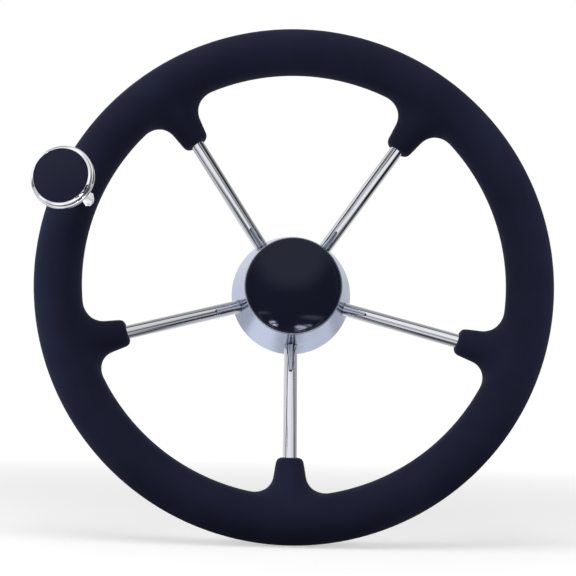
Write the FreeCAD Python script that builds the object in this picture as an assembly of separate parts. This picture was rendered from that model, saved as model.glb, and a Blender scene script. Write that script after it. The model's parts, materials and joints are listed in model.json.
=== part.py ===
import FreeCAD, Part

import math
import os

from FreeCAD import Vector

# Stainless boat steering wheel with five dished spokes, a moulded foam rim and a spinning knob.
# All sizes are millimetres. The wheel's axis is Y: the rear face of the hub boss is at y = 0 and
# the side that faces the driver looks towards -Y. +Z is up and one spoke points straight down.

os.makedirs("parts", exist_ok=True)

# Rim
overall_diameter = 343.0
grip_diameter = 31.2
core_diameter = 13.0
rim_offset = 86.0          # hub boss rear face to the middle plane of the rim
moulding_gap = 0.25        # foam to the steel that it is moulded round

# Spokes
spoke_count = 5
spoke_diameter = 9.5
dish_angle = 27.5          # degrees, spoke against the plane of the wheel
weld_gap = 0.1             # root gap of every welded joint
shell_hole_gap = 0.3       # rod in its punched hole in the hub shell

# Foam lugs over the spoke ends
lug_start_radius = 117.3   # wheel axis to the free end of a lug, which is square to the wheel's radius
lug_end_diameter = 17.6
lug_corner = 3.0
lug_root_diameter = 27.964744   # of its cone, where it reaches the rim core
lug_root_round = 14.4      # where the lug grows out of the rim

# Hub shell, spun from sheet
hub_length = 55.5
hub_rear_diameter = 88.6
hub_front_diameter = 67.8
shell_wall = 2.0
shell_edge_round = 0.9
collar_bore = 58.0
collar_depth = 8.0

# Hub boss and plate
boss_diameter = 34.0
boss_length = 38.0
boss_shoulder = 6.0
boss_nose_diameter = 28.0
boss_chamfer = 1.0
shank_bore = 19.2          # straight entry for the parallel part of the helm shaft
shank_depth = 6.0
taper_large_diameter = 19.05
taper_ratio = 12.0         # length for one of diameter
key_width = 4.76
key_depth = 2.4            # from the bore wall to the floor of the keyway
plate_thickness = 3.0

# Centre cap and its sealing ring
cap_diameter = 66.7
cap_edge = 2.2
cap_edge_round = 1.3
cap_dome = 3.2
cap_wall = 2.4
skirt_clearance = 0.4      # radial, skirt in the collar
skirt_length = 8.6
ring_section = 1.7
ring_clearance = 0.05

# Knob
knob_angle = 161.0         # degrees from +X towards +Z, seen from the driver's side
knob_foot_inset = 10.7     # from the middle circle of the rim inwards to the post
knob_lean = 6.0            # degrees, outwards from the wheel axis
knob_height = 58.0         # foam to the knob's face
post_diameter = 9.8        # shoulder that shows above the foam
post_top = 4.5             # top of the post's shoulder above the foam
post_round = 0.9
stem_diameter = 5.0        # bar between the shoulder and the rim core
stem_lap = 3.0             # length of the bar inside the shoulder
stud_end = 1.0             # stud beyond its nut
thrust_washer_thickness = 0.5
journal_diameter = 7.0
running_clearance = 0.05
end_play = 0.15
bush_wall = 1.0
bush_length = 10.0
bush_flange = 1.2
bush_flange_width = 1.1
bush_seat_clearance = 0.04
neck_diameter = 12.0
flank_waist = 0.2          # share of the flank's width that it has gained at its middle point
flank_rise = 0.58          # share of the flank's height at that point
bead_start = -80.0         # degrees on the bead's section, where the flank meets it
bead_diameter = 39.2
bead_section = 3.4
bead_depth = 3.9           # knob face to the middle of the bead
bezel_diameter = 36.3
insert_diameter = 33.2
insert_thickness = 2.3
insert_dome = 0.5
insert_clearance = 0.08
bezel_lip = 0.3            # bezel above the edge of the insert
nut_well_diameter = 22.0
nut_well_depth = 11.0
knob_washer_diameter = 12.0
knob_washer_thickness = 1.0
stud_diameter = 5.0
knob_nut_flats = 8.0
knob_nut_height = 5.0

# Worked out from the sizes above
grip_radius = grip_diameter / 2
core_radius = core_diameter / 2
rim_radius = overall_diameter / 2 - grip_radius
knob_foot_radius = rim_radius - knob_foot_inset
spoke_radius = spoke_diameter / 2
dish = math.radians(dish_angle)
spoke_root_y = rim_radius * math.tan(dish) - rim_offset
tiny = 1e-6                # lengths closer than this are the same
wheel_axis = Vector(0, 1, 0)
origin = Vector(0, 0, 0)


def line(a, b):
    return Part.makeLine(Vector(a[0], a[1], 0), Vector(b[0], b[1], 0))


def arc(a, through, b):
    points = [Vector(p[0], p[1], 0) for p in (a, through, b)]
    return Part.Arc(*points).toShape()


def corner_arc(centre, radius, start, end):
    """Arc about a centre, between two angles in degrees."""
    def at(angle):
        turn = math.radians(angle)
        return centre[0] + radius * math.cos(turn), centre[1] + radius * math.sin(turn)
    return arc(at(start), at((start + end) / 2), at(end)), at(start), at(end)


def dome(edge_point, rise):
    """Arc from a point to the axis, with its centre on the axis."""
    half, height = edge_point
    radius = (half ** 2 + rise ** 2) / (2 * abs(rise))
    side = math.copysign(1, rise)
    centre = height + rise - side * radius
    turn = math.asin(half / radius) / 2
    through = (radius * math.sin(turn), centre + side * radius * math.cos(turn))
    return arc(edge_point, through, (0, height + rise))


def turned(edges, axis=wheel_axis):
    """Solid of revolution of a closed profile drawn in X and Y, X being the radius."""
    face = Part.Face(Part.Wire(Part.__sortEdges__(edges)))
    solid = face.revolve(origin, axis, 360)
    return Part.makeSolid(solid.Shells[0]) if solid.ShapeType != "Solid" else solid


def polygon_edges(points):
    return [line(points[i], points[(i + 1) % len(points)]) for i in range(len(points))]


def around(shape, degrees):
    """Copy turned about the wheel axis, counter-clockwise as the driver sees it."""
    copy = shape.copy()
    copy.rotate(origin, wheel_axis, -degrees)
    return copy


def torus(section_radius):
    return Part.makeTorus(rim_radius, section_radius, Vector(0, -rim_offset, 0), wheel_axis)


def shell_radius(y):
    """Outer radius of the hub cone at a height along the axis."""
    rear, front = hub_rear_diameter / 2, hub_front_diameter / 2
    return rear + (front - rear) * (-y / hub_length)


def spoke_point(radius):
    return Vector(radius, spoke_root_y - radius * math.tan(dish), 0)


spoke_direction = Vector(math.cos(dish), -math.sin(dish), 0)


def spoke_cylinder(radius, start, end):
    """Cylinder on the line of the spoke that points along +X, between two distances from the axis."""
    base = spoke_point(start)
    return Part.makeCylinder(radius, (spoke_point(end) - base).Length, base, spoke_direction)


def save(name, shape):
    solids = shape.Solids
    clean = solids[0] if len(solids) == 1 else Part.makeCompound(solids)
    clean.exportStep("parts/" + name + ".step")
    print(name, len(solids), clean.isValid(), round(clean.Volume, 1))


def largest(shape):
    return max(shape.Solids, key=lambda solid: solid.Volume)


def spoke_angles():
    return [-90 + index * 360 / spoke_count for index in range(spoke_count)]


# Hub
def hub_shell():
    front = -hub_length
    inner = collar_bore / 2
    outer_front = shell_radius(front)
    slope = math.atan2(hub_rear_diameter / 2 - outer_front, hub_length)
    inset = shell_wall / math.cos(slope)
    under = front + shell_wall
    edges = polygon_edges([
        (shell_radius(0), 0),
        (outer_front, front),
        (inner, front),
        (inner, front + collar_depth),
        (inner + shell_wall, front + collar_depth),
        (inner + shell_wall, under),
        (shell_radius(under) - inset, under),
        (shell_radius(0) - inset, 0),
    ])
    solid = turned(edges)
    front_edges = [
        edge for edge in solid.Edges
        if is_circle_at(edge, outer_front, front) or is_circle_at(edge, inner, front)
    ]
    solid = solid.makeFillet(shell_edge_round, front_edges)
    for angle in spoke_angles():
        hole = spoke_cylinder(spoke_radius + shell_hole_gap, boss_diameter / 2, hub_rear_diameter)
        solid = solid.cut(around(hole, angle))
    return solid


def is_circle_at(edge, radius, y):
    curve = edge.Curve
    if not isinstance(curve, Part.Circle):
        return False
    return abs(curve.Radius - radius) < tiny and abs(curve.Center.y - y) < tiny


def taper_radius(y):
    return (taper_large_diameter - (-y - shank_depth) / taper_ratio) / 2


def hub_boss():
    big, nose = boss_diameter / 2, boss_nose_diameter / 2
    front = -boss_length
    shoulder = front + boss_shoulder
    edges = polygon_edges([
        (shank_bore / 2, 0),
        (big - boss_chamfer, 0),
        (big, -boss_chamfer),
        (big, shoulder),
        (nose, shoulder),
        (nose, front + boss_chamfer),
        (nose - boss_chamfer, front),
        (taper_radius(front), front),
        (taper_radius(-shank_depth), -shank_depth),
        (shank_bore / 2, -shank_depth),
    ])
    key_height = shank_bore / 2 + key_depth
    keyway = Part.makeBox(key_width, boss_length, key_height, Vector(-key_width / 2, front, 0))
    return turned(edges).cut(keyway)


def hub_plate():
    rear = -boss_length + boss_shoulder
    front = rear - plate_thickness
    slope = math.atan2((hub_rear_diameter - hub_front_diameter) / 2, hub_length)
    inset = shell_wall / math.cos(slope) + weld_gap
    bore = boss_nose_diameter / 2 + weld_gap
    return turned(polygon_edges([
        (bore, rear),
        (shell_radius(rear) - inset, rear),
        (shell_radius(front) - inset, front),
        (bore, front),
    ]))


def centre_cap():
    seat = -hub_length
    edge = cap_diameter / 2
    skirt = collar_bore / 2 - skirt_clearance
    groove_floor = collar_bore / 2 - ring_clearance * 2 - ring_section
    groove_width = ring_section + 4 * ring_clearance
    groove_top = seat + (collar_depth - groove_width) / 2
    groove_end = groove_top + groove_width
    skirt_end = seat + skirt_length
    face = seat - cap_edge
    corner = (edge - cap_edge_round, face + cap_edge_round)
    rounding, start, end = corner_arc(corner, cap_edge_round, 0, -90)
    inside_top = face + cap_wall
    inside = skirt - cap_wall
    points = [
        (0, inside_top), (inside, inside_top), (inside, skirt_end), (skirt, skirt_end),
        (skirt, groove_end), (groove_floor, groove_end), (groove_floor, groove_top),
        (skirt, groove_top), (skirt, seat), (edge, seat), start,
    ]
    edges = [line(points[i], points[i + 1]) for i in range(len(points) - 1)]
    edges += [rounding, dome(end, -cap_dome), line((0, face - cap_dome), points[0])]
    return turned(edges)


def cap_ring():
    centre = collar_bore / 2 - ring_clearance - ring_section / 2
    middle = -hub_length + collar_depth / 2
    return Part.makeTorus(centre, ring_section / 2, Vector(0, middle, 0), wheel_axis)


# Spokes and rim
def spoke():
    solid = spoke_cylinder(spoke_radius, 0, rim_radius)
    boss_radius = boss_diameter / 2 + weld_gap
    boss = Part.makeCylinder(boss_radius, rim_offset, Vector(0, -rim_offset, 0), wheel_axis)
    solid = solid.cut(boss).cut(torus(core_radius + weld_gap))
    return largest(solid)


def lug():
    """Cone over the end of the spoke that points along +X, from its free end to the rim core."""
    end_radius = lug_end_diameter / 2
    end_middle = spoke_point(lug_start_radius)
    start = spoke_point(lug_start_radius - end_radius * math.tan(dish))
    lead = (end_middle - start).Length
    length = (spoke_point(rim_radius) - end_middle).Length - core_radius
    start_radius = end_radius - (lug_root_diameter / 2 - end_radius) * lead / length
    cone = Part.makeCone(start_radius, lug_root_diameter / 2, lead + length, start, spoke_direction)
    inside = Part.makeBox(lug_start_radius, 2 * rim_offset, overall_diameter,
                          Vector(0, -2 * rim_offset, -overall_diameter / 2))
    solid = cone.cut(inside)
    end_edges = [edge for edge in solid.Edges if edge.BoundBox.XMax < lug_start_radius + tiny]
    return solid.makeFillet(lug_corner, end_edges)


def is_lug_root(solid, edge):
    """An edge between the ring's own surface and the cone of a lug."""
    surfaces = [face.Surface for face in solid.ancestorsOfType(edge, Part.Face)]
    on_ring = any(isinstance(s, Part.Toroid) and s.MajorRadius > lug_start_radius for s in surfaces)
    return on_ring and any(isinstance(s, Part.Cone) for s in surfaces)


def grip_sector():
    """The share of the grip round the spoke that points along +X, hollow for the rod and the core."""
    ring = torus(grip_radius).fuse(lug())
    roots = [edge for edge in ring.Edges if is_lug_root(ring, edge)]
    room = rim_radius - grip_radius - lug_start_radius - lug_corner
    ring = ring.makeFillet(min(lug_root_round, room), roots)
    half_turn = math.radians(180 / spoke_count)
    side = Vector(math.cos(half_turn), 0, math.sin(half_turn)) * overall_diameter
    corners = [origin, side, Vector(side.x, 0, -side.z), origin]
    wedge = Part.Face(Part.makePolygon(corners)).extrude(Vector(0, -2 * rim_offset, 0))
    rod = spoke_cylinder(spoke_radius + moulding_gap, lug_start_radius - spoke_radius, rim_radius)
    return ring.common(wedge).cut(rod).cut(torus(core_radius + moulding_gap))


def rim_grip():
    sector = grip_sector()
    sectors = [around(sector, angle) for angle in spoke_angles()]
    solid = sectors[0].fuse(sectors[1:])
    recess_floor = Vector(0, 0, -moulding_gap)
    recess = Part.makeCylinder(post_diameter / 2 + moulding_gap, grip_diameter, recess_floor)
    return solid.cut(on_knob_axis(recess)).cut(post_stem(stem_diameter / 2 + moulding_gap))


# Knob: each piece is drawn along Z, with the foam's surface at z = 0, then set on the rim
foot_rise = math.sqrt(grip_radius ** 2 - (rim_radius - knob_foot_radius) ** 2)


def on_knob_axis(shape):
    placed = shape.copy()
    placed.rotate(origin, Vector(1, 0, 0), 90)
    placed.rotate(origin, Vector(0, 0, 1), knob_lean)
    placed.translate(Vector(knob_foot_radius, -rim_offset - foot_rise, 0))
    return around(placed, knob_angle)


def post_stem(radius):
    """Bar from the middle of the rim core, square to the foam's surface, into the post's shoulder."""
    core_middle = Vector(rim_radius, -rim_offset, 0)
    direction = Vector(-knob_foot_inset, -foot_rise, 0)
    return around(Part.makeCylinder(radius, grip_radius + stem_lap, core_middle, direction), knob_angle)


def knob_turned(edges):
    """Turned piece drawn as radius and height, stood up along Z."""
    solid = turned(edges)
    solid.rotate(origin, Vector(1, 0, 0), 90)
    return solid


journal_radius = journal_diameter / 2
bush_radius = journal_radius + running_clearance + bush_wall
thrust_top = post_top + thrust_washer_thickness
lower_seat = thrust_top + end_play + bush_flange
upper_seat = knob_height - nut_well_depth
washer_base = upper_seat + bush_flange + end_play


def knob_post():
    wide, stud = post_diameter / 2, stud_diameter / 2
    top = washer_base + knob_washer_thickness + knob_nut_height + stud_end
    low_corner = (wide - post_round, post_round)
    high_corner = (wide - post_round, post_top - post_round)
    base_round, base_start, base_end = corner_arc(low_corner, post_round, -90, 0)
    top_round, top_start, top_end = corner_arc(high_corner, post_round, 0, 90)
    points = [
        top_end, (journal_radius, post_top), (journal_radius, washer_base),
        (stud, washer_base), (stud, top), (0, top), (0, 0), base_start,
    ]
    edges = [line(points[i], points[i + 1]) for i in range(len(points) - 1)]
    edges += [base_round, line(base_end, top_start), top_round]
    turned_end = on_knob_axis(knob_turned(edges))
    return largest(turned_end.fuse(post_stem(stem_diameter / 2)).cut(torus(core_radius + weld_gap)))


def bush(seat, towards):
    """Flanged plain bearing: its flange lies on the seat and its sleeve runs away from the flange."""
    bore = journal_radius + running_clearance
    flange = bush_radius + bush_flange_width
    return knob_turned(polygon_edges([
        (bore, seat - towards * bush_flange),
        (flange, seat - towards * bush_flange),
        (flange, seat),
        (bush_radius, seat),
        (bush_radius, seat + towards * bush_length),
        (bore, seat + towards * bush_length),
    ]))


def knob_body():
    bore = bush_radius + bush_seat_clearance
    neck, well, bezel = neck_diameter / 2, nut_well_diameter / 2, bezel_diameter / 2
    bead_radius = bead_section / 2
    bead_middle = (bead_diameter / 2 - bead_radius, knob_height - bead_depth)
    bead, bead_low, bead_high = corner_arc(bead_middle, bead_radius, bead_start, 90)
    insert = insert_diameter / 2 + insert_clearance
    bezel_round = (bezel - insert) / 2
    bezel_middle = (insert + bezel_round, knob_height + bezel_lip - bezel_round)
    bezel_arc, bezel_start, bezel_end = corner_arc(bezel_middle, bezel_round, 0, 180)
    bezel_foot = (bezel, bead_high[1])
    seat = knob_height - insert_thickness
    flank_middle = (
        neck + (bead_low[0] - neck) * flank_waist,
        lower_seat + (bead_low[1] - lower_seat) * flank_rise,
    )
    points = [
        bezel_end, (insert, seat), (well, seat), (well, upper_seat),
        (bore, upper_seat), (bore, lower_seat), (neck, lower_seat),
    ]
    edges = [line(points[i], points[i + 1]) for i in range(len(points) - 1)]
    edges += [arc((neck, lower_seat), flank_middle, bead_low), bead]
    edges += [line(bead_high, bezel_foot), line(bezel_foot, bezel_start), bezel_arc]
    return knob_turned(edges)


def knob_insert():
    radius = insert_diameter / 2
    low = knob_height - insert_thickness + insert_clearance
    edges = [
        line((0, low), (radius, low)),
        line((radius, low), (radius, knob_height)),
        dome((radius, knob_height), insert_dome),
        line((0, knob_height + insert_dome), (0, low)),
    ]
    return knob_turned(edges)


def ring_of(inner, outer, low, high):
    return knob_turned(polygon_edges([(inner, low), (outer, low), (outer, high), (inner, high)]))


def thrust_washer():
    outer = bush_radius + bush_flange_width / 2
    return ring_of(journal_radius + weld_gap, outer, post_top, thrust_top)


def top_washer():
    bore = stud_diameter / 2 + weld_gap
    return ring_of(bore, knob_washer_diameter / 2, washer_base, washer_base + knob_washer_thickness)


def knob_nut():
    low = washer_base + knob_washer_thickness
    across_corners = Vector(knob_nut_flats / 2 / math.cos(math.radians(30)), 0, low)
    up = Vector(0, 0, 1)
    corners = [FreeCAD.Rotation(up, 60 * side).multVec(across_corners) for side in range(7)]
    hexagon = Part.Face(Part.makePolygon(corners)).extrude(up * knob_nut_height)
    bore = Part.makeCylinder(stud_diameter / 2 + weld_gap, knob_nut_height, Vector(0, 0, low))
    return hexagon.cut(bore)


# Build
save("hub_shell", hub_shell())
save("hub_boss", hub_boss())
save("hub_plate", hub_plate())
save("centre_cap", centre_cap())
save("cap_sealing_ring", cap_ring())

straight_spoke = spoke()
for number, angle in enumerate(spoke_angles(), start=1):
    save("spoke_" + str(number), around(straight_spoke, angle))

save("rim_core", torus(core_radius))
save("rim_grip", rim_grip())

save("knob_post", knob_post())
save("knob_lower_bush", on_knob_axis(bush(lower_seat, 1)))
save("knob_upper_bush", on_knob_axis(bush(upper_seat, -1)))
save("knob_body", on_knob_axis(knob_body()))
save("knob_insert", on_knob_axis(knob_insert()))
save("knob_thrust_washer", on_knob_axis(thrust_washer()))
save("knob_washer", on_knob_axis(top_washer()))
save("knob_lock_nut", on_knob_axis(knob_nut()))
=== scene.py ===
import json
import math

import bpy
from mathutils import Matrix, Vector


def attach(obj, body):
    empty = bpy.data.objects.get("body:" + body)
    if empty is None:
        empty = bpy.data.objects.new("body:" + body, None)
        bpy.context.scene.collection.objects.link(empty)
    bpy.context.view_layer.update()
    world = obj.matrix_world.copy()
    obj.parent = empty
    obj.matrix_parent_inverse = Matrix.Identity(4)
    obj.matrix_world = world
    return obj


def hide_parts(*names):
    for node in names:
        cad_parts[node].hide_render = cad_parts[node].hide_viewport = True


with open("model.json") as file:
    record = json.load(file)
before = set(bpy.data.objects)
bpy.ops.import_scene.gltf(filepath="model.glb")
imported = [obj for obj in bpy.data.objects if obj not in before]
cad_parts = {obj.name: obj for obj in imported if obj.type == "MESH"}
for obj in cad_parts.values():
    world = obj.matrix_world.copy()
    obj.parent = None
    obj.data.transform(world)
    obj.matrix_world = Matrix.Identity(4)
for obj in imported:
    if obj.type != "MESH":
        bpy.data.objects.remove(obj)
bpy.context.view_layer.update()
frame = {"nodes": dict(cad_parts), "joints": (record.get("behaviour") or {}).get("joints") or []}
nodes = frame["nodes"]

# Stainless boat steering wheel, put together from the hub outwards. Lengths are metres. The wheel's
# axis is Y, the driver looks along +Y at it, +Z is up, and one spoke points straight down.


# Hub boss and plate. The boss is turned from 316 stainless bar, with the tapered bore for the helm
# shaft, and the plate is cut from sheet and welded between the boss and the shell. Neither is polished.
def linear(hex_colour):
    """Linear colour of an sRGB hex value."""
    channels = [int(hex_colour[i:i + 2], 16) / 255 for i in (1, 3, 5)]
    return [c / 12.92 if c <= 0.04045 else ((c + 0.055) / 1.055) ** 2.4 for c in channels] + [1.0]


def add_node(tree, kind, inputs, **options):
    """Adds a shader node. An input is given a value, or the output that is linked to it."""
    node = tree.nodes.new("ShaderNode" + kind)
    for name, value in options.items():
        setattr(node, name, value)
    for name, value in inputs.items():
        if isinstance(value, bpy.types.NodeSocket):
            tree.links.new(value, node.inputs[name])
        else:
            node.inputs[name].default_value = value
    return node


def new_material(name):
    material = bpy.data.materials.new(name)
    material.use_nodes = True
    material.node_tree.nodes.clear()
    return material


def finish(material, surface):
    add_node(material.node_tree, "OutputMaterial", {"Surface": surface.outputs["BSDF"]})
    return material


def wear(material, *names):
    """Gives CAD nodes a material."""
    for name in names:
        slots = nodes[name].material_slots
        for slot in slots:
            slot.material = material


# Turned 316 stainless: the tool leaves fine rings round the axis, which spread each highlight.
TURNING_PITCH = 0.0004
turned_steel = new_material("turned_316_stainless")
tree = turned_steel.node_tree
place = add_node(tree, "TexCoord", {})
axes = add_node(tree, "SeparateXYZ", {"Vector": place.outputs["Object"]})
rings = add_node(tree, "TexNoise", {"W": axes.outputs["Y"], "Scale": 1 / TURNING_PITCH, "Detail": 2.0},
                 noise_dimensions="1D")
tone = add_node(tree, "ValToRGB", {"Fac": rings.outputs["Fac"]})
tone.color_ramp.elements[0].color = linear("#9fa1a6")
tone.color_ramp.elements[1].color = linear("#c2c4c9")
relief = add_node(tree, "Bump", {"Height": rings.outputs["Fac"], "Strength": 0.3, "Distance": 0.00002})
surface = add_node(tree, "BsdfPrincipled", {
    "Base Color": tone.outputs["Color"],
    "Metallic": 1.0,
    "Roughness": 0.34,
    "Normal": relief.outputs["Normal"],
})
finish(turned_steel, surface)
wear(turned_steel, "hub_boss", "hub_plate")


# Hub shell. A cone spun from 2 mm 304 stainless sheet, turned in at the front to a collar for the cap
# and punched for the five spokes. It is buffed to a fine satin that still mirrors the spokes.
SPINNING_PITCH = 0.0009
SMUDGE_SIZE = 0.018
spun_steel = new_material("buffed_304_stainless_sheet")
tree = spun_steel.node_tree
place = add_node(tree, "TexCoord", {})
axes = add_node(tree, "SeparateXYZ", {"Vector": place.outputs["Object"]})
marks = add_node(tree, "TexNoise", {"W": axes.outputs["Y"], "Scale": 1 / SPINNING_PITCH, "Detail": 3.0},
                 noise_dimensions="1D")
smudges = add_node(tree, "TexNoise", {
    "Vector": place.outputs["Object"],
    "Scale": 1 / SMUDGE_SIZE,
    "Detail": 2.0,
})
dulling = add_node(tree, "MapRange", {
    "Value": smudges.outputs["Fac"], "From Min": 0.3, "From Max": 0.7, "To Min": 0.13, "To Max": 0.2,
})
tone = add_node(tree, "ValToRGB", {"Fac": marks.outputs["Fac"]})
tone.color_ramp.elements[0].color = linear("#c0c6d6")
tone.color_ramp.elements[1].color = linear("#c8cedc")
relief = add_node(tree, "Bump", {"Height": marks.outputs["Fac"], "Strength": 0.12, "Distance": 0.00001})
surface = add_node(tree, "BsdfPrincipled", {
    "Base Color": tone.outputs["Color"],
    "Metallic": 1.0,
    "Specular Tint": linear("#dfe3f0"),
    "Roughness": dulling.outputs["Result"],
    "Normal": relief.outputs["Normal"],
})
finish(spun_steel, surface)
wear(spun_steel, "hub_shell")


# Spokes. Five 9.5 mm rods of 304 stainless, ground and mirror-polished, welded to the boss at one end
# and to the ring in the rim at the other, and dished towards the driver.
SCRATCH_SIZE = 0.0012
polished_steel = new_material("mirror_polished_304_stainless")
tree = polished_steel.node_tree
place = add_node(tree, "TexCoord", {})
haze = add_node(tree, "TexNoise", {
    "Vector": place.outputs["Object"],
    "Scale": 1 / SMUDGE_SIZE,
    "Detail": 3.0,
})
polish = add_node(tree, "MapRange", {
    "Value": haze.outputs["Fac"], "From Min": 0.3, "From Max": 0.7, "To Min": 0.035, "To Max": 0.075,
})
scratches = add_node(tree, "TexNoise", {
    "Vector": place.outputs["Object"],
    "Scale": 1 / SCRATCH_SIZE,
    "Detail": 2.0,
})
relief = add_node(tree, "Bump", {"Height": scratches.outputs["Fac"], "Strength": 0.04, "Distance": 0.00001})
surface = add_node(tree, "BsdfPrincipled", {
    "Base Color": linear("#dadbe0"),
    "Metallic": 1.0,
    "Roughness": polish.outputs["Result"],
    "Normal": relief.outputs["Normal"],
})
finish(polished_steel, surface)
wear(polished_steel, *["spoke_%d" % number for number in range(1, 6)])


# Rim core. A ring rolled from 13 mm round bar and welded closed, which the spokes and the knob's post
# are welded to. The foam hides it.
wear(turned_steel, "rim_core")


# Foam rim. Soft closed-cell polyurethane moulded round the core in one piece, with a lug that runs a
# short way down each spoke. Its end is flat, square to the wheel's radius, and its sides sweep into the rim.
RIM_RADIUS = 0.1559          # axis to the middle of the rim
GRIP_RADIUS = 0.0156
RIM_PLANE = -0.086
CORE_RADIUS = 0.0065
SPOKE_RADIUS = 0.00475
MOULDING_GAP = 0.00025       # foam to the steel inside it
DISH = math.radians(27.5)
LUG_START = 0.1168           # axis to the free end of a lug
LUG_END_RADIUS = 0.0088
LUG_CORNER = 0.0042
LUG_TAPER = 0.14             # growth of the radius for each metre of length
ROOT_ROUND = 0.0144          # radius of the hollow where a lug grows out of the rim
FOAM_VOXEL = 0.0014
BALL_ROLLS = 4               # times that a point near a corner is moved
SKIN_SMOOTHING = 4
FOAM_CREASE = math.radians(42)


def only(obj):
    """Makes one object the only one that operators act on."""
    bpy.ops.object.select_all(action="DESELECT")
    obj.select_set(True)
    bpy.context.view_layer.objects.active = obj


def spoke_place(distance, angle):
    """Point on a spoke's line at a distance from the axis, for a spoke at an angle from +X."""
    height = RIM_PLANE + (RIM_RADIUS - distance) * math.tan(DISH)
    return Vector((distance * math.cos(angle), height, distance * math.sin(angle)))


def stand_along(obj, foot, direction):
    """Turns and moves an object drawn along +Z so that it stands on a point and runs in a direction."""
    across = Vector((0, 1, 0)).cross(direction).normalized()
    turn = Matrix((across, direction.cross(across), direction)).transposed().to_4x4()
    obj.matrix_world = Matrix.Translation(foot) @ turn
    only(obj)
    bpy.ops.object.transform_apply(location=True, rotation=True, scale=True)


def spoke_direction(angle):
    return (spoke_place(RIM_RADIUS, angle) - spoke_place(0, angle)).normalized()


def use_modifier(obj, kind, **settings):
    only(obj)
    modifier = obj.modifiers.new(kind.lower(), kind)
    for name, value in settings.items():
        setattr(modifier, name, value)
    bpy.ops.object.modifier_apply(modifier=modifier.name)


lug_length = (RIM_RADIUS - LUG_START) / math.cos(DISH) - CORE_RADIUS
lug_lead = LUG_END_RADIUS * math.tan(DISH)          # what is drawn too long and cut off square
spoke_angles = [math.radians(-90 + 72 * number) for number in range(5)]
bpy.ops.object.select_all(action="DESELECT")
bpy.ops.mesh.primitive_cone_add(vertices=96, radius1=LUG_END_RADIUS - LUG_TAPER * lug_lead,
                                radius2=LUG_END_RADIUS + LUG_TAPER * lug_length, depth=lug_lead + lug_length,
                                location=(0, 0, (lug_length - lug_lead) / 2))
lug = bpy.context.object
bpy.ops.object.transform_apply(location=True, rotation=True, scale=True)
bpy.ops.object.mode_set(mode="EDIT")
bpy.ops.mesh.select_all(action="SELECT")
bpy.ops.mesh.bisect(
    plane_co=(0, 0, 0),
    plane_no=(0, math.sin(DISH), math.cos(DISH)),
    use_fill=True,
    clear_inner=True,
)
bpy.ops.object.mode_set(mode="OBJECT")
lugs = [lug]
for angle in spoke_angles[1:]:
    only(lug)
    bpy.ops.object.duplicate()
    lugs.append(bpy.context.object)
for each, angle in zip(lugs, spoke_angles):
    stand_along(each, spoke_place(LUG_START, angle), spoke_direction(angle))
bpy.ops.object.select_all(action="DESELECT")
bpy.ops.mesh.primitive_torus_add(major_radius=RIM_RADIUS, minor_radius=GRIP_RADIUS, major_segments=288,
                                 minor_segments=72, location=(0, RIM_PLANE, 0), rotation=(math.pi / 2, 0, 0))
foam_rim = bpy.context.object
foam_rim.name = "foam_rim"
for each in lugs:
    each.select_set(True)
bpy.ops.object.join()
bpy.ops.object.transform_apply(location=True, rotation=True, scale=True)
use_modifier(foam_rim, "REMESH", mode="VOXEL", voxel_size=FOAM_VOXEL)


def from_ring(point):
    """Distance of a point from the grip's round surface, and the direction away from it."""
    middle = Vector((point.x, 0, point.z)).normalized() * RIM_RADIUS + Vector((0, RIM_PLANE, 0))
    return (point - middle).length - GRIP_RADIUS, (point - middle).normalized()


def from_lug(point, start, outwards):
    """The same for the round side of a lug."""
    along = (point - start).dot(outwards)
    aside = point - start - outwards * along
    away = (aside.normalized() - outwards * LUG_TAPER).normalized()
    return (aside.length - LUG_END_RADIUS - LUG_TAPER * along) * math.cos(math.atan(LUG_TAPER)), away


def from_end(point, start, inwards):
    """The same for the flat end of a lug."""
    return (point - start).dot(inwards), inwards


def onto_ball(point, first, second, radius):
    """Moves a point in the corner of two surfaces onto a ball that touches both. The radius is positive
    where the ball lies outside the foam, in a hollow, and negative where it lies inside, at an edge."""
    (gap, away), (other_gap, other_away) = first, second
    slope = away.dot(other_away)
    share = (gap - radius) - (other_gap - radius) * slope
    other_share = (other_gap - radius) - (gap - radius) * slope
    if max(share * radius, other_share * radius) >= 0 or max(gap, other_gap) > abs(radius):
        return point
    from_ball = (away * share + other_away * other_share) / (1 - slope * slope)
    return point + from_ball * (abs(radius) / from_ball.length - 1)


# The mould leaves no sharp edge. A ball is rolled along the corner between the rim and each lug, and one
# round the edge of the lug's flat end: the skin moves to the ball wherever it would cross it.
for vertex in foam_rim.data.vertices:
    turn = math.atan2(vertex.co.z, vertex.co.x)
    angle = min(spoke_angles, key=lambda each: abs(math.remainder(turn - each, math.tau)))
    start = spoke_place(LUG_START, angle)
    outwards = spoke_direction(angle)
    inwards = Vector((-math.cos(angle), 0, -math.sin(angle)))
    along = (vertex.co - start).dot(outwards)
    for rolling in range(BALL_ROLLS):
        side = from_lug(vertex.co, start, outwards)
        if along > lug_length:
            break
        if along > 2 * LUG_CORNER:
            vertex.co = onto_ball(vertex.co, from_ring(vertex.co), side, ROOT_ROUND)
        else:
            vertex.co = onto_ball(vertex.co, from_end(vertex.co, start, inwards), side, -LUG_CORNER)
use_modifier(foam_rim, "SMOOTH", factor=0.5, iterations=SKIN_SMOOTHING)

ROD_START = 0.105            # where the cut for a rod begins, short of the lug
ROD_REACH = (RIM_RADIUS - ROD_START) / math.cos(DISH)
POST_RADIUS = 0.0049
STEM_RADIUS = 0.0025         # bar that carries the knob's post, square to the foam's surface
STEM_LAP = 0.003             # length of the bar inside the post
joint = frame["joints"][0]
post_foot, post_axis = Vector(joint["pos_m"]), Vector(joint["axis"])
core_middle = Vector((post_foot.x, 0, post_foot.z)).normalized() * RIM_RADIUS + Vector((0, RIM_PLANE, 0))
stem_direction = (post_foot - core_middle).normalized()


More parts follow.
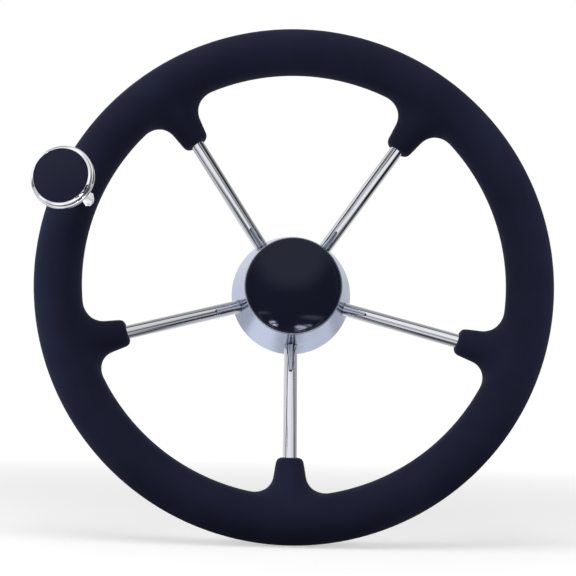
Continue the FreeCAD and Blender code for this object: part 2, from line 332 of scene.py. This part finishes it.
def bar(radius, start, end, foot, direction):
    """Round bar between two distances from a point."""
    bpy.ops.object.select_all(action="DESELECT")
    bpy.ops.mesh.primitive_cylinder_add(vertices=64, radius=radius, depth=end - start,
                                        location=(0, 0, (start + end) / 2))
    cylinder = bpy.context.object
    bpy.ops.object.transform_apply(location=True, rotation=True, scale=True)
    stand_along(cylinder, foot, direction)
    return cylinder


bpy.ops.object.select_all(action="DESELECT")
bpy.ops.mesh.primitive_torus_add(major_radius=RIM_RADIUS, minor_radius=CORE_RADIUS + MOULDING_GAP,
                                 major_segments=192, minor_segments=24, location=(0, RIM_PLANE, 0),
                                 rotation=(math.pi / 2, 0, 0))
hollow = [bpy.context.object]
for angle in spoke_angles:
    foot = spoke_place(ROD_START, angle)
    hollow.append(bar(SPOKE_RADIUS + MOULDING_GAP, 0, ROD_REACH, foot, spoke_direction(angle)))
hollow.append(bar(POST_RADIUS + MOULDING_GAP, -MOULDING_GAP, GRIP_RADIUS, post_foot, post_axis))
hollow.append(bar(STEM_RADIUS + MOULDING_GAP, 0, GRIP_RADIUS + STEM_LAP, core_middle, stem_direction))
for cutter in hollow:
    use_modifier(foam_rim, "BOOLEAN", operation="DIFFERENCE", solver="MANIFOLD", object=cutter)
    bpy.data.objects.remove(cutter)
only(foam_rim)
bpy.ops.object.shade_smooth_by_angle(angle=FOAM_CREASE)

# Moulded polyurethane foam skin: black with a blue cast, matt, with a pebbled grain too fine to see
# one by one. The grain is drawn at 1.3 mm, about three times its real size, so that it shows.
GRAIN_SIZE = 0.0013
SHADE_SIZE = 0.035
foam_skin = new_material("moulded_polyurethane_foam_skin")
tree = foam_skin.node_tree
place = add_node(tree, "TexCoord", {})
grain = add_node(tree, "TexVoronoi", {"Vector": place.outputs["Object"], "Scale": 1 / GRAIN_SIZE},
                 feature="SMOOTH_F1")
swell = add_node(tree, "TexNoise", {
    "Vector": place.outputs["Object"],
    "Scale": 1 / SHADE_SIZE,
    "Detail": 3.0,
})
tone = add_node(tree, "ValToRGB", {"Fac": swell.outputs["Fac"]})
tone.color_ramp.elements[0].position = 0.3
tone.color_ramp.elements[0].color = linear("#1d1f33")
tone.color_ramp.elements[1].position = 0.7
tone.color_ramp.elements[1].color = linear("#22253b")
relief = add_node(tree, "Bump", {"Height": grain.outputs["Distance"], "Strength": 0.25, "Distance": 0.0001})
surface = add_node(tree, "BsdfPrincipled", {
    "Base Color": tone.outputs["Color"],
    "Roughness": 0.7,
    "IOR": 1.5,
    "Specular IOR Level": 0.13,
    "Normal": relief.outputs["Normal"],
})
finish(foam_skin, surface)
foam_rim.data.materials.clear()
foam_rim.data.materials.append(foam_skin)
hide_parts("rim_grip")
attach(foam_rim, "wheel")


# Centre cap and its sealing ring. The cap is injection-moulded in black ABS with a high gloss, lightly
# domed, and plugs into the hub's collar, where a rubber ring in its skirt holds it.
CAP_RADIUS = 0.03335
CAP_SEAT = 0.0555            # hub boss rear face to the front of the hub
CAP_EDGE = 0.0022
CAP_ROUND = 0.0013
CAP_DOME = 0.0032
CAP_WALL = 0.0024
SKIRT_RADIUS = 0.0286
SKIRT_END = 0.0469
GROOVE_RADIUS = 0.0272
GROOVE_LOW, GROOVE_HIGH = 0.05055, 0.05245
POLE = 0.0004                # smallest ring round the axis
CREASE = math.radians(30)    # turned pieces are shaded smooth where faces meet at less than this


def arc_rings(centre, radius, start, end, steps):
    """Rings along an arc, as radius and height, between two angles in degrees on its section."""
    angles = [math.radians(start + (end - start) * step / steps) for step in range(steps + 1)]
    return [(centre[0] + radius * math.cos(turn), centre[1] + radius * math.sin(turn)) for turn in angles]


def dome_rings(edge_radius, edge_height, rise, steps):
    """Rings of a shallow dome from its edge up to the axis."""
    radius = (edge_radius ** 2 + rise ** 2) / (2 * rise)
    half = math.degrees(math.asin(edge_radius / radius))
    rings = arc_rings((0, edge_height + rise - radius), radius, 90 - half, 90, steps)
    return rings[:-1] + [(POLE, edge_height + rise)]


def turn_rings(name, rings, segments):
    """Turned piece, drawn along +Z: a circle is extruded and resized from ring to ring."""
    bpy.ops.object.select_all(action="DESELECT")
    radius, height = rings[0]
    bpy.ops.mesh.primitive_circle_add(vertices=segments, radius=radius, location=(0, 0, height))
    piece = bpy.context.object
    piece.name = name
    bpy.ops.object.transform_apply(location=True, rotation=True, scale=True)
    bpy.ops.object.mode_set(mode="EDIT")
    for new_radius, new_height in rings[1:]:
        bpy.ops.mesh.extrude_region_move(TRANSFORM_OT_translate={"value": (0, 0, new_height - height)})
        bpy.ops.transform.resize(value=(new_radius / radius, new_radius / radius, 1),
                                 center_override=(0, 0, new_height))
        radius, height = new_radius, new_height
    bpy.ops.mesh.select_all(action="SELECT")
    bpy.ops.mesh.remove_doubles(threshold=1e-6)
    bpy.ops.mesh.fill_holes(sides=0)
    bpy.ops.mesh.select_all(action="SELECT")
    bpy.ops.mesh.normals_make_consistent(inside=False)
    bpy.ops.object.mode_set(mode="OBJECT")
    return piece


face_edge = CAP_RADIUS - CAP_ROUND
cap_rings = [
    (POLE, CAP_SEAT + CAP_EDGE - CAP_WALL), (SKIRT_RADIUS - CAP_WALL, CAP_SEAT + CAP_EDGE - CAP_WALL),
    (SKIRT_RADIUS - CAP_WALL, SKIRT_END), (SKIRT_RADIUS, SKIRT_END),
    (SKIRT_RADIUS, GROOVE_LOW), (GROOVE_RADIUS, GROOVE_LOW),
    (GROOVE_RADIUS, GROOVE_HIGH), (SKIRT_RADIUS, GROOVE_HIGH),
    (SKIRT_RADIUS, CAP_SEAT), (CAP_RADIUS, CAP_SEAT),
]
cap_rings += arc_rings((face_edge, CAP_SEAT + CAP_EDGE - CAP_ROUND), CAP_ROUND, 0, 90, 8)
cap_rings += dome_rings(face_edge, CAP_SEAT + CAP_EDGE, CAP_DOME, 24)[1:]
cap = turn_rings("centre_cap_moulding", cap_rings, 160)
cap.rotation_euler = (math.pi / 2, 0, 0)
only(cap)
bpy.ops.object.transform_apply(location=True, rotation=True, scale=True)
bpy.ops.object.shade_smooth_by_angle(angle=CREASE)

RIPPLE_SIZE = 0.02
gloss_abs = new_material("gloss_black_moulded_abs")
tree = gloss_abs.node_tree
place = add_node(tree, "TexCoord", {})
ripple = add_node(tree, "TexNoise", {
    "Vector": place.outputs["Object"],
    "Scale": 1 / RIPPLE_SIZE,
    "Detail": 1.0,
})
relief = add_node(tree, "Bump", {"Height": ripple.outputs["Fac"], "Strength": 0.05, "Distance": 0.0005})
surface = add_node(tree, "BsdfPrincipled", {
    "Base Color": linear("#1d2032"),
    "Roughness": 0.06,
    "IOR": 1.54,
    "Specular Tint": linear("#dce0fb"),
    "Normal": relief.outputs["Normal"],
})
finish(gloss_abs, surface)
cap.data.materials.append(gloss_abs)
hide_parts("centre_cap")
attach(cap, "wheel")

BLOOM_SIZE = 0.002
seal_rubber = new_material("moulded_nitrile_rubber")
tree = seal_rubber.node_tree
place = add_node(tree, "TexCoord", {})
bloom = add_node(tree, "TexNoise", {
    "Vector": place.outputs["Object"],
    "Scale": 1 / BLOOM_SIZE,
    "Detail": 2.0,
})
tone = add_node(tree, "ValToRGB", {"Fac": bloom.outputs["Fac"]})
tone.color_ramp.elements[0].color = linear("#141414")
tone.color_ramp.elements[1].color = linear("#1f1f20")
surface = add_node(tree, "BsdfPrincipled", {
    "Base Color": tone.outputs["Color"],
    "Roughness": 0.55,
    "IOR": 1.52,
})
finish(seal_rubber, surface)
wear(seal_rubber, "cap_sealing_ring")


# Knob post, washers and lock nut. The post is turned from stainless bar and polished, and a short bar
# welds it to the core. The knob turns on its narrower end, between a thrust washer and a lock nut.
POST_ROUND = 0.0009
POST_TOP = 0.0045            # height of the shoulder above the foam
JOURNAL_RADIUS = 0.0035
JOURNAL_END = 0.04835
STUD_RADIUS = 0.0025
STUD_END = 0.05535
WELD_GAP = 0.0001
post_corner = POST_RADIUS - POST_ROUND
post_rings = [(POLE, 0)]
post_rings += arc_rings((post_corner, POST_ROUND), POST_ROUND, -90, 0, 8)
post_rings += arc_rings((post_corner, POST_TOP - POST_ROUND), POST_ROUND, 0, 90, 8)
post_rings += [
    (JOURNAL_RADIUS, POST_TOP), (JOURNAL_RADIUS, JOURNAL_END), (STUD_RADIUS, JOURNAL_END),
    (STUD_RADIUS, STUD_END), (POLE, STUD_END),
]
post = turn_rings("post_turning", post_rings, 96)
stand_along(post, post_foot, post_axis)
stem = bar(STEM_RADIUS, CORE_RADIUS + WELD_GAP, GRIP_RADIUS + STEM_LAP, core_middle, stem_direction)
use_modifier(post, "BOOLEAN", operation="UNION", solver="MANIFOLD", object=stem)
bpy.data.objects.remove(stem)
only(post)
bpy.ops.object.shade_smooth_by_angle(angle=CREASE)
post.data.materials.clear()
post.data.materials.append(polished_steel)
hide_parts("knob_post")
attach(post, "wheel")
wear(turned_steel, "knob_thrust_washer", "knob_washer", "knob_lock_nut")


# Knob bushes. Two flanged plain bearings, turned from natural white acetal and pressed into the knob
# from each end. They run dry on the post's journal. The knob hides them.
CLOUD_SIZE = 0.004
acetal = new_material("natural_acetal")
tree = acetal.node_tree
place = add_node(tree, "TexCoord", {})
clouding = add_node(tree, "TexNoise", {
    "Vector": place.outputs["Object"],
    "Scale": 1 / CLOUD_SIZE,
    "Detail": 2.0,
})
tone = add_node(tree, "ValToRGB", {"Fac": clouding.outputs["Fac"]})
tone.color_ramp.elements[0].color = linear("#dfddd2")
tone.color_ramp.elements[1].color = linear("#ebe9e0")
surface = add_node(tree, "BsdfPrincipled", {
    "Base Color": tone.outputs["Color"],
    "Roughness": 0.42,
    "IOR": 1.48,
})
finish(acetal, surface)
wear(acetal, "knob_lower_bush", "knob_upper_bush")


# Knob body. A mushroom shape turned from 304 stainless bar and mirror-polished, with a bead round its
# widest part and a narrow bezel that frames the insert. It is hollow for the bushes and the nut.
KNOB_HEIGHT = 0.058          # foam to the knob's face
BUSH_SEAT = 0.00635
BUSH_BORE = 0.00459
NECK_RADIUS = 0.006
NUT_WELL_RADIUS = 0.011
NUT_WELL_FLOOR = 0.047
FLANK_WAIST = (0.008439, 0.033074)
BEAD_RADIUS = 0.0017
BEAD_MIDDLE = (0.0179, 0.0541)
INSERT_SEAT = 0.0557
INSERT_BORE = 0.01668
BEZEL_RADIUS = 0.01815
BEZEL_LIP = 0.0003
BEZEL_ROUND = 0.0002
BEZEL_SLOPE = 31             # degrees that the bezel's face falls away outwards


def curve_rings(first, middle, last, steps):
    """Rings along the arc through three points of a section."""
    ax, ay, bx, by, cx, cy = *first, *middle, *last
    twice = 2 * (ax * (by - cy) + bx * (cy - ay) + cx * (ay - by))
    squares = [ax * ax + ay * ay, bx * bx + by * by, cx * cx + cy * cy]
    x = (squares[0] * (by - cy) + squares[1] * (cy - ay) + squares[2] * (ay - by)) / twice
    y = (squares[0] * (cx - bx) + squares[1] * (ax - cx) + squares[2] * (bx - ax)) / twice
    start, end = (math.degrees(math.atan2(point[1] - y, point[0] - x)) for point in (first, last))
    end -= 360 * round((end - start) / 360)
    return arc_rings((x, y), math.hypot(ax - x, ay - y), start, end, steps)


bezel_inner = (INSERT_BORE + BEZEL_ROUND, KNOB_HEIGHT + BEZEL_LIP - BEZEL_ROUND)
bezel_fall = (BEZEL_RADIUS - INSERT_BORE - 2 * BEZEL_ROUND) * math.tan(math.radians(BEZEL_SLOPE))
bezel_outer = (BEZEL_RADIUS - BEZEL_ROUND, bezel_inner[1] - bezel_fall)
bead = arc_rings(BEAD_MIDDLE, BEAD_RADIUS, -80, 90, 24)
knob_rings = [
    (INSERT_BORE, INSERT_SEAT), (NUT_WELL_RADIUS, INSERT_SEAT), (NUT_WELL_RADIUS, NUT_WELL_FLOOR),
    (BUSH_BORE, NUT_WELL_FLOOR), (BUSH_BORE, BUSH_SEAT),
]
knob_rings += curve_rings((NECK_RADIUS, BUSH_SEAT), FLANK_WAIST, bead[0], 40)
knob_rings += bead[1:] + [(BEZEL_RADIUS, bead[-1][1])]
knob_rings += arc_rings(bezel_outer, BEZEL_ROUND, 0, 90 - BEZEL_SLOPE, 6)
knob_rings += arc_rings(bezel_inner, BEZEL_ROUND, 90 - BEZEL_SLOPE, 180, 8) + [(INSERT_BORE, INSERT_SEAT)]
knob = turn_rings("knob_turning", knob_rings, 144)
stand_along(knob, post_foot, post_axis)
bpy.ops.object.shade_smooth_by_angle(angle=CREASE)

step_half = (bezel_outer[1] - BEAD_MIDDLE[1] - BEAD_RADIUS) / 2
step_middle = BEAD_MIDDLE[1] + BEAD_RADIUS + step_half
bright_steel = new_material("electropolished_304_stainless")
tree = bright_steel.node_tree
place = add_node(tree, "TexCoord", {})
haze = add_node(tree, "TexNoise", {
    "Vector": place.outputs["Object"],
    "Scale": 1 / SMUDGE_SIZE,
    "Detail": 3.0,
})
polish = add_node(tree, "MapRange", {
    "Value": haze.outputs["Fac"], "From Min": 0.3, "From Max": 0.7, "To Min": 0.04, "To Max": 0.08,
})
# Painted shade: the step between the bead and the bezel is coloured dark grey for the shadow in the groove
# there.
height = add_node(tree, "VectorMath", {0: place.outputs["Object"], 1: post_axis}, operation="DOT_PRODUCT")
painted_groove_shade = add_node(tree, "Math", {
    0: height.outputs["Value"], 1: post_foot.dot(post_axis) + step_middle, 2: step_half,
}, operation="COMPARE")
tone = add_node(tree, "Mix", {"Factor": painted_groove_shade.outputs[0], 6: linear("#f3f4f7"), 7: linear("#55555f")},
                data_type="RGBA")
surface = add_node(tree, "BsdfPrincipled", {
    "Base Color": tone.outputs[2],
    "Metallic": 1.0,
    "Roughness": polish.outputs["Result"],
})
finish(bright_steel, surface)
knob.data.materials.append(bright_steel)
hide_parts("knob_body")
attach(knob, "knob")


# Knob insert. A disc moulded in black ABS, slightly domed, with a small chamfer round its face. It is
# glued into the bezel over the nut. Its face has a fine satin grain.
INSERT_RADIUS = 0.0166
INSERT_BACK = 0.05578
INSERT_DOME = 0.0005
INSERT_CHAMFER = 0.0003
insert_rings = [
    (POLE, INSERT_BACK),
    (INSERT_RADIUS, INSERT_BACK),
    (INSERT_RADIUS, KNOB_HEIGHT - INSERT_CHAMFER),
]
insert_rings += dome_rings(INSERT_RADIUS - INSERT_CHAMFER, KNOB_HEIGHT, INSERT_DOME, 16)
insert = turn_rings("knob_inlay", insert_rings, 144)
stand_along(insert, post_foot, post_axis)
bpy.ops.object.shade_smooth_by_angle(angle=CREASE)

FACE_GRAIN = 0.0009
satin_abs = new_material("satin_black_moulded_abs")
tree = satin_abs.node_tree
place = add_node(tree, "TexCoord", {})
spark = add_node(tree, "TexNoise", {
    "Vector": place.outputs["Object"],
    "Scale": 1 / FACE_GRAIN,
    "Detail": 2.0,
})
relief = add_node(tree, "Bump", {"Height": spark.outputs["Fac"], "Strength": 0.12, "Distance": 0.00005})
surface = add_node(tree, "BsdfPrincipled", {
    "Base Color": linear("#12162f"),
    "Roughness": 0.42,
    "IOR": 1.54,
    "Specular IOR Level": 0.3,
    "Normal": relief.outputs["Normal"],
})
finish(satin_abs, surface)
insert.data.materials.append(satin_abs)
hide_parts("knob_insert")
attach(insert, "knob")


# Floor and light. The wheel stands on its rim on a pale floor, in soft light from above and both sides.
# To the camera all round is white. What the steel mirrors is the studio: white walls behind and on the
# left, softboxes over the front, a dark side on the right, and the darker room behind the camera.
FLOOR_HEIGHT = -0.1717
FLOOR_SIZE = 12
bpy.ops.object.select_all(action="DESELECT")
bpy.ops.mesh.primitive_plane_add(size=FLOOR_SIZE, location=(0, 0, FLOOR_HEIGHT))
floor = bpy.context.object
floor.name = "floor"
bpy.ops.object.transform_apply(location=True, rotation=True, scale=True)
pale_floor = new_material("pale_floor")
tree = pale_floor.node_tree
rays = add_node(tree, "LightPath", {})
place = add_node(tree, "TexCoord", {})
mirrored = add_node(tree, "Math", {0: rays.outputs["Is Glossy Ray"], 1: rays.outputs["Is Transmission Ray"]},
                    operation="MAXIMUM")
# To mirrored rays the floor glows with painted light and painted shade: lit patches, painted shadows under
# the wheel and behind the hub, dark patches for the room and the right side, and glowing spots that stand in
# for lamps.
level = 0.64
PAINTED_FLOOR_AREAS = [
    # middle on the floor, radius that is full, radius where it has faded, and level: 1 is white
    ((0.0, -0.40), 0.16, 0.26, 1.12),      # lit floor in front and to the left
    ((-0.30, -0.47), 0.10, 0.22, 0.85),
    ((-0.62, -0.33), 0.10, 0.22, 1.10),
    ((-0.24, -0.30), 0.06, 0.12, 1.12),
    ((-0.14, 0.36), 0.18, 0.34, 1.12),     # lit floor behind
    ((0.24, 0.52), 0.14, 0.34, 0.95),
    ((0.0, 0.24), 0.03, 0.10, 0.62),       # shade behind the hub
    ((-0.04, -0.10), 0.08, 0.16, 0.20),    # shade under the wheel
    ((0.27, -0.09), 0.13, 0.20, 0.04),     # dark side on the right
    ((0.75, -0.65), 0.25, 0.40, 0.20),
    ((0.0, -1.33), 0.80, 0.84, 0.03),      # room behind the camera
    ((0.0, -5.60), 4.00, 4.20, 0.03),
    ((0.20, -0.90), 0.04, 0.15, 0.90),     # painted bright patches that stand in for lights in it, which the cap mirrors near its lower edge
    ((-0.30, -1.08), 0.03, 0.14, 0.90),
    ((-0.118, -0.680), 0.012, 0.030, 17.0),    # painted glowing spots that stand in for lamps, which the cap mirrors as its two bright marks
    ((-0.093, -0.605), 0.012, 0.023, 20.0),
    ((0.065, -0.570), 0.022, 0.045, 10.5),
    ((0.120, -0.615), 0.010, 0.032, 5.0),
]
for middle, full, faded, value in PAINTED_FLOOR_AREAS:
    distance = add_node(tree, "VectorMath", {0: place.outputs["Object"], 1: (*middle, FLOOR_HEIGHT)},
                        operation="DISTANCE")
    share = add_node(tree, "MapRange", {
        "Value": distance.outputs["Value"], "From Min": faded, "From Max": full,
    }, interpolation_type="SMOOTHSTEP")
    level = add_node(tree, "Mix", {0: share.outputs["Result"], 2: level, 3: value}).outputs[0]
painted_floor_glow = add_node(tree, "Emission", {"Color": linear("#fbfcff"), "Strength": level})
far_off = add_node(tree, "VectorMath", {0: place.outputs["Object"]}, operation="LENGTH")
glow = add_node(tree, "MapRange", {
    "Value": far_off.outputs["Value"], "From Min": 0.25, "From Max": 1.1, "To Min": 0.52, "To Max": 0.9,
})
matt = add_node(tree, "BsdfDiffuse", {"Color": linear("#e6e6e6")})
lit = add_node(tree, "Emission", {"Color": linear("#ffffff"), "Strength": glow.outputs["Result"]})
bright = add_node(tree, "AddShader", {0: matt.outputs[0], 1: lit.outputs[0]})
# Rays other than the camera's and mirrored ones see a darker grey copy of the floor: shade painted into the
# light it bounces onto the wheel.
shaded_floor_copy = add_node(tree, "BsdfDiffuse", {"Color": linear("#8a8a8c")})
seen = add_node(tree, "MixShader", {
    "Fac": rays.outputs["Is Camera Ray"],
    1: shaded_floor_copy.outputs[0],
    2: bright.outputs[0],
})
mixed = add_node(tree, "MixShader", {
    "Fac": mirrored.outputs[0],
    1: seen.outputs[0],
    2: painted_floor_glow.outputs[0],
})
add_node(tree, "OutputMaterial", {"Surface": mixed.outputs[0]})
floor.data.materials.append(pale_floor)

world = bpy.data.worlds.new("studio")
bpy.context.scene.world = world
world.use_nodes = True
tree = world.node_tree
tree.nodes.clear()
rays = add_node(tree, "LightPath", {})
heading = add_node(tree, "TexCoord", {})
level = 0.45
STUDIO_AREAS = [
    # direction of the middle, half width that is full and where it has faded in degrees, and level
    ((0.14, -1.0, 0.10), 30, 46, 1.15),    # front wall
    ((-0.25, 0.95, 0.15), 24, 60, 0.98),   # white wall behind
    ((0.38, 0.91, 0.12), 8, 22, 0.76),     # its shaded end
    ((-0.49, -0.54, 0.68), 16, 34, 1.15),  # softbox on the left
    ((0.0, -0.55, 0.83), 20, 32, 1.05),    # softbox in the middle
    ((0.55, -0.45, 0.70), 12, 26, 0.85),   # softbox on the right
    ((-0.85, -0.06, 0.45), 14, 28, 1.10),  # wall on the left
    ((-0.96, -0.28, 0.0), 8, 18, 0.12),    # gap on the left
    ((0.95, -0.20, -0.10), 24, 44, 0.06),  # dark side on the right
    ((0.0, -0.98, 0.10), 24, 33, 0.03),    # room behind the camera
    ((0.0, -0.90, 0.42), 12, 24, 0.42),    # its ceiling
]
for aim, full, faded, value in STUDIO_AREAS:
    closeness = add_node(tree, "VectorMath", {
        0: heading.outputs["Generated"], 1: Vector(aim).normalized(),
    }, operation="DOT_PRODUCT")
    share = add_node(tree, "MapRange", {
        "Value": closeness.outputs["Value"],
        "From Min": math.cos(math.radians(faded)), "From Max": math.cos(math.radians(full)),
    }, interpolation_type="SMOOTHSTEP")
    level = add_node(tree, "Mix", {0: share.outputs["Result"], 2: level, 3: value}).outputs[0]
axes = add_node(tree, "SeparateXYZ", {"Vector": heading.outputs["Generated"]})
fill = add_node(tree, "MapRange", {
    "Value": axes.outputs["Z"], "From Min": -0.6, "From Max": 0.9, "To Min": 0.17, "To Max": 0.13,
})
mirrored = add_node(tree, "Math", {0: rays.outputs["Is Glossy Ray"], 1: rays.outputs["Is Transmission Ray"]},
                    operation="MAXIMUM")
strength = add_node(tree, "Mix", {0: mirrored.outputs[0], 2: fill.outputs["Result"], 3: level})
strength = add_node(tree, "Mix", {0: rays.outputs["Is Camera Ray"], 2: strength.outputs[0], 3: 1.0})
white = add_node(tree, "Background", {"Color": linear("#ffffff"), "Strength": strength.outputs[0]})
add_node(tree, "OutputWorld", {"Surface": white.outputs[0]})


def soft_lamp(name, place, width, level):
    """Square lamp aimed at the wheel; at level 1 it alone lights a surface that faces it fully."""
    bpy.ops.object.light_add(type="AREA", location=place)
    lamp = bpy.context.object
    lamp.name = name
    lamp.data.shape = "SQUARE"
    lamp.data.size = width
    lamp.visible_camera = False
    lamp.visible_glossy = False
    aim = Vector((0, RIM_PLANE, 0)) - lamp.location
    lamp.rotation_euler = aim.to_track_quat("-Z", "Y").to_euler()
    lamp.data.energy = level * (math.pi * aim.length) ** 2


soft_lamp("key_lamp", (-0.05, -0.33, 0.55), 0.5, 0.42)
soft_lamp("left_lamp", (-0.60, -0.35, 0.02), 0.3, 0.52)
soft_lamp("right_lamp", (0.55, -0.35, 0.02), 0.3, 0.38)


# Camera. It looks from a little below and to the left of the wheel's axis, 650 mm from the rim. Its
# place, turn and lens were fitted to the edges of the rim, the cap and the hub in the photograph.
bpy.ops.object.camera_add(location=(-0.0200, -0.7294, -0.0881),
                          rotation=[math.radians(angle) for angle in (97.293, -1.444, -1.055)])
camera = bpy.context.object
camera.data.sensor_width = 36
camera.data.lens = 61.44
camera.data.shift_x = 0.0153
camera.data.shift_y = -0.0003
camera.data.clip_start = 0.01
bpy.context.scene.camera = camera
bpy.context.scene.view_settings.view_transform = "Standard"
